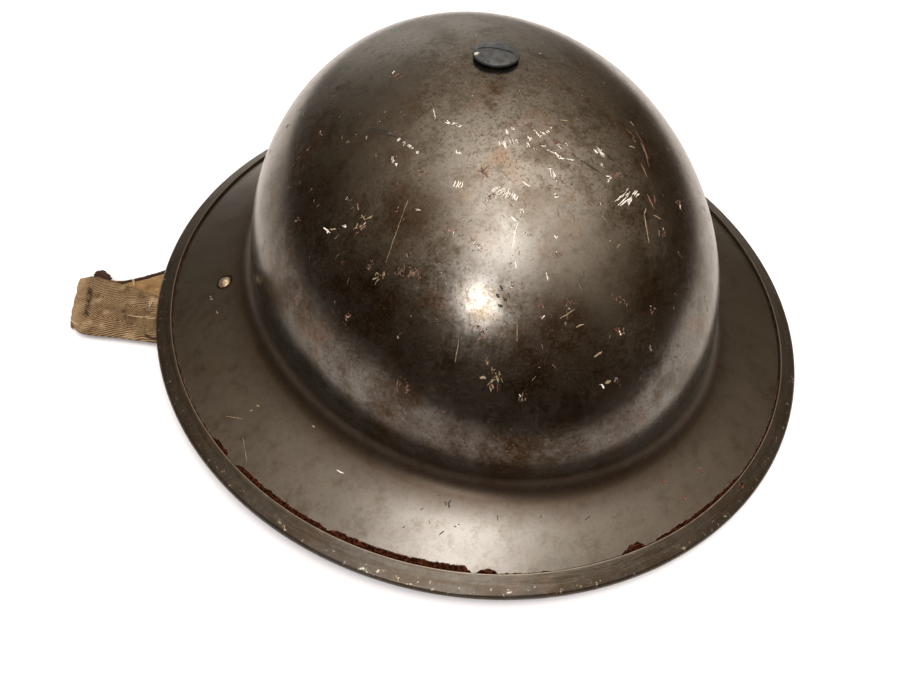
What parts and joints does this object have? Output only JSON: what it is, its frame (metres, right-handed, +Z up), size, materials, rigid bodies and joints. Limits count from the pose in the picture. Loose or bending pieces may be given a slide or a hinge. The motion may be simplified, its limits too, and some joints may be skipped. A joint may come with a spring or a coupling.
{
  "type": "brimmed steel helmet",
  "caption": "Wide-brimmed pressed steel helmet with rim band, crown screw, riveted liner, side lugs on wire bails and a two-part webbing chinstrap.",
  "frame": {"origin": "centre of the rim plane, at the underside of the rim band", "axes": "+Z up to the crown, -Y to the helmet's front, +X to the wearer's left (the viewer's right from the front)"},
  "size_m": [0.3233, 0.305, 0.1248],
  "materials": {
    "painted_steel": "dark olive-brown gloss paint, worn and rust-specked",
    "painted_rim": "dark olive-brown paint, rubbed bright along the edge",
    "blackened_steel": "blackened, satin",
    "plain_steel": "dull, lightly rusted",
    "black_rubber": "matte, aged",
    "grey_felt": "pressed wool felt",
    "liner_fibre": "leathercloth over fibre sheet",
    "brown_leather": "oiled leathercloth",
    "cotton_cord": "braided cotton",
    "khaki_webbing": "ribbed cotton webbing, soiled",
    "tan_leather": "dry tan leather-faced ply",
    "brass": "dull brass"
  },
  "bodies": {
    "helmet": {"shell": "painted_steel", "rim_band": "painted_rim", "crown_screw": "blackened_steel", "crown_washer": "black_rubber", "crown_nut": "plain_steel", "crown_plate": "plain_steel", "crown_rubber_pad": "black_rubber", "crown_felt_pad": "grey_felt", "liner_cross_long": "liner_fibre", "liner_cross_short": "liner_fibre", "headband": "liner_fibre", "sweatband": "brown_leather", "tongue_lace": "cotton_cord", "band_buffers": "black_rubber", "liner_rivets": "plain_steel", "strap_lug_left": "painted_steel", "strap_lug_right": "painted_steel", "lug_rivet_left": "painted_steel", "lug_rivet_right": "painted_steel"},
    "left_bail": {"bail_left": "plain_steel"},
    "left_strap": {"strap_left": "khaki_webbing"},
    "left_tail": {"strap_left_tail": "tan_leather"},
    "buckle": {"buckle_frame": "blackened_steel"},
    "right_bail": {"bail_right": "plain_steel"},
    "right_strap": {"strap_right": "khaki_webbing", "strap_tip": "brass"},
    "keeper": {"strap_keeper": "brass"}
  },
  "joints": [
    {"name": "left_bail_swing", "type": "hinge", "parent": "helmet", "child": "left_bail", "pos_m": [-0.10285, 0.01703, 0.01302], "axis": [-0.1633, -0.9866, 0], "range_deg": [0, 40]},
    {"name": "left_strap_swing", "type": "hinge", "parent": "left_bail", "child": "left_strap", "pos_m": [-0.10477, 0.01734, 0.00766], "axis": [-0.1633, -0.9866, 0], "range_deg": [0, 65]},
    {"name": "left_strap_fold", "type": "hinge", "parent": "left_strap", "child": "left_tail", "pos_m": [-0.17725, 0.0386, -0.00282], "axis": [0.139, 0.9903, 0], "range_deg": [0, 170]},
    {"name": "buckle_swing", "type": "hinge", "parent": "left_tail", "child": "buckle", "pos_m": [-0.118, 0.039, -0.00131], "axis": [0, 1, 0], "range_deg": [0, 100]},
    {"name": "right_bail_swing", "type": "hinge", "parent": "helmet", "child": "right_bail", "pos_m": [0.10285, 0.01703, 0.01302], "axis": [0.1633, -0.9866, 0], "range_deg": [0, 40]},
    {"name": "right_strap_swing", "type": "hinge", "parent": "right_bail", "child": "right_strap", "pos_m": [0.10093, 0.01671, 0.00766], "axis": [0.1633, -0.9866, 0], "range_deg": [0, 70]},
    {"name": "keeper_slide", "type": "slide", "parent": "right_strap", "child": "keeper", "axis": [-0.9865, -0.1633, -0.0147], "range_m": [-0.052, 0.056]}
  ]
}
